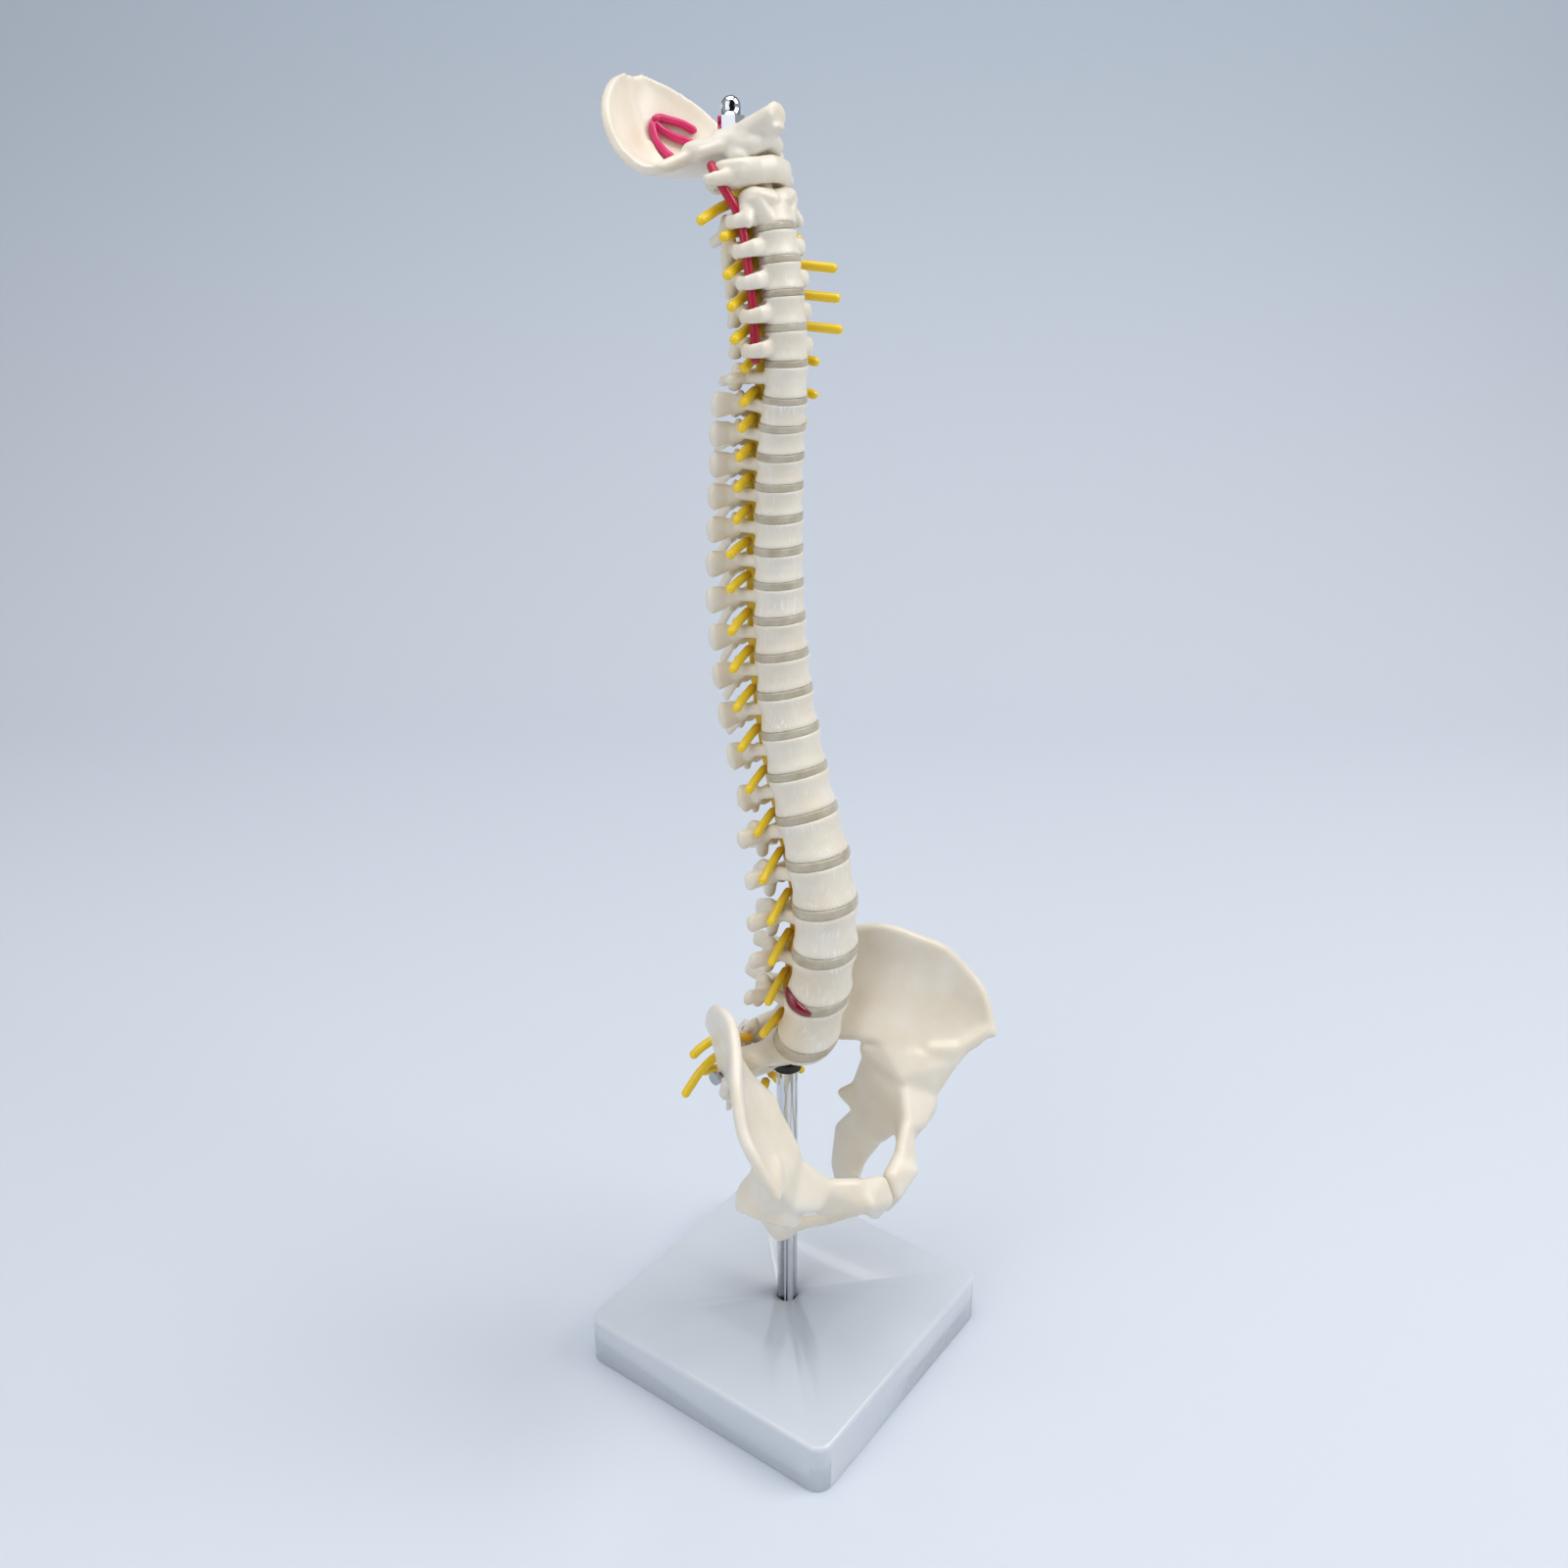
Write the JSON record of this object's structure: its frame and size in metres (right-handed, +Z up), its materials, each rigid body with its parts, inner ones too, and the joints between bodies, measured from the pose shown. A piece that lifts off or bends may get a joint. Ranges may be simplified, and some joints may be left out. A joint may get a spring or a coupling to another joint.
{
  "type": "spine anatomy model",
  "caption": "Half-size anatomical spine with pelvis, skull base, nerves and vertebral arteries, standing on a chrome rod in a square base plate.",
  "frame": {"origin": "centre of the base plate's underside, below the rod's axis", "axes": "+Z up, the model faces -Y, its own left side is +X; the base plate's sides lie along X and Y"},
  "size_m": [0.1317, 0.1213, 0.4584],
  "materials": {
    "bone": "moulded ivory PVC with a soft gloss and fine upright grain",
    "disc": "flexible cloudy taupe plastic, glossy",
    "nerve": "soft yellow plastic with round ends",
    "artery": "soft crimson plastic",
    "prolapse": "dark red painted plastic, glossy",
    "basal_artery": "magenta plastic, glossy",
    "steel": "drawn steel wire and zinc-plated screws",
    "chrome": "bright chrome plating",
    "collar": "black rubber",
    "base": "polished white plastic plate"
  },
  "bodies": {
    "root": {"l5": "bone", "l4": "bone", "l3": "bone", "l2": "bone", "l1": "bone", "t12": "bone", "t11": "bone", "t10": "bone", "t9": "bone", "t8": "bone", "t7": "bone", "t6": "bone", "t5": "bone", "t4": "bone", "t3": "bone", "t2": "bone", "t1": "bone", "c7": "bone", "c6": "bone", "c5": "bone", "c4": "bone", "c3": "bone", "c2_axis": "bone", "c1_atlas": "bone", "disc_l5_s1": "disc", "disc_l4_l5": "disc", "disc_l3_l4": "disc", "disc_l2_l3": "disc", "disc_l1_l2": "disc", "disc_t12_l1": "disc", "disc_t11_t12": "disc", "disc_t10_t11": "disc", "disc_t9_t10": "disc", "disc_t8_t9": "disc", "disc_t7_t8": "disc", "disc_t6_t7": "disc", "disc_t5_t6": "disc", "disc_t4_t5": "disc", "disc_t3_t4": "disc", "disc_t2_t3": "disc", "upper_discs": "disc", "disc_prolapse": "prolapse", "sacrum": "bone", "hip_bone_right": "bone", "hip_bone_left": "bone", "hip_screws": "steel", "skull_base": "bone", "basal_artery": "basal_artery", "vertebral_arteries": "artery", "spinal_cord": "nerve", "cervical_nerves": "nerve", "thoracic_nerves": "nerve", "lumbar_nerves": "nerve", "sacral_nerves": "nerve", "core_rod": "steel", "cap_nut": "chrome", "washer": "chrome", "rod_collar": "collar", "support_rod": "chrome", "base_plate": "base"}
  },
  "joints": []
}
